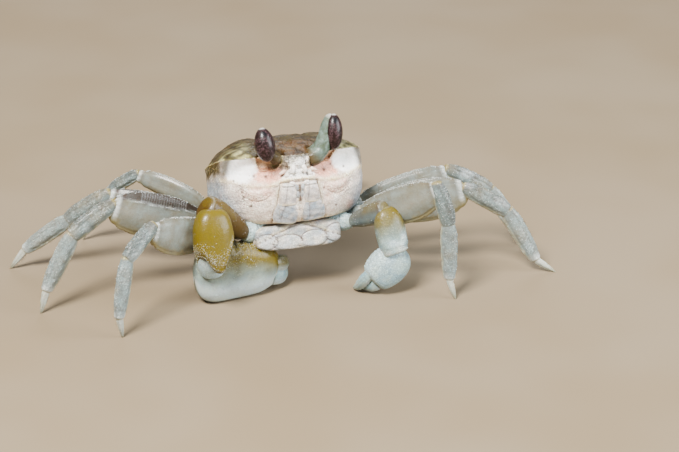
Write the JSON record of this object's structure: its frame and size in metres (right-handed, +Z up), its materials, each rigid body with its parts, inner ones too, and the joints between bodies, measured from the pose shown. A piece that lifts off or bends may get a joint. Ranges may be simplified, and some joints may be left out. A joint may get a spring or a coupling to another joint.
{
  "type": "ghost crab",
  "caption": "Life-size still ghost crab standing with one large and one small claw forward and its stalked eyes raised.",
  "frame": {"origin": "on the floor under the middle of the whole crab's box", "axes": "+X towards the crab's left, -Y the way it faces, +Z up"},
  "size_m": [0.1296, 0.0762, 0.0433],
  "materials": {
    "back_shell": "satin",
    "under_shell": "satin",
    "leg_shell": "satin",
    "claw_tip": "satin",
    "arm_shell": "satin",
    "claw_shell": "satin",
    "eye": "gloss",
    "eyestalk": "satin"
  },
  "bodies": {
    "root": {"ischium_left_2": "leg_shell", "merus_left_2": "leg_shell", "carpus_left_2": "leg_shell", "propodus_left_2": "leg_shell", "dactylus_left_2": "claw_tip", "ischium_left_3": "leg_shell", "merus_left_3": "leg_shell", "carpus_left_3": "leg_shell", "propodus_left_3": "leg_shell", "dactylus_left_3": "claw_tip", "ischium_left_4": "leg_shell", "merus_left_4": "leg_shell", "carpus_left_4": "leg_shell", "propodus_left_4": "leg_shell", "dactylus_left_4": "claw_tip", "ischium_left_5": "leg_shell", "merus_left_5": "leg_shell", "carpus_left_5": "leg_shell", "propodus_left_5": "leg_shell", "dactylus_left_5": "claw_tip", "ischium_claw_left": "arm_shell", "merus_claw_left": "arm_shell", "carpus_claw_left": "arm_shell", "palm_left": "claw_shell", "finger_left": "claw_shell", "maxilliped_left": "under_shell", "cornea_left": "eye", "eyestalk_left": "eyestalk", "ischium_right_2": "leg_shell", "merus_right_2": "leg_shell", "carpus_right_2": "leg_shell", "propodus_right_2": "leg_shell", "dactylus_right_2": "claw_tip", "ischium_right_3": "leg_shell", "merus_right_3": "leg_shell", "carpus_right_3": "leg_shell", "propodus_right_3": "leg_shell", "dactylus_right_3": "claw_tip", "ischium_right_4": "leg_shell", "merus_right_4": "leg_shell", "carpus_right_4": "leg_shell", "propodus_right_4": "leg_shell", "dactylus_right_4": "claw_tip", "ischium_right_5": "leg_shell", "merus_right_5": "leg_shell", "carpus_right_5": "leg_shell", "propodus_right_5": "leg_shell", "dactylus_right_5": "claw_tip", "ischium_claw_right": "arm_shell", "merus_claw_right": "arm_shell", "carpus_claw_right": "arm_shell", "palm_right": "claw_shell", "finger_right": "claw_shell", "maxilliped_right": "under_shell", "cornea_right": "eye", "eyestalk_right": "eyestalk", "carapace": "back_shell", "sternum": "under_shell", "abdomen": "under_shell"}
  },
  "joints": []
}
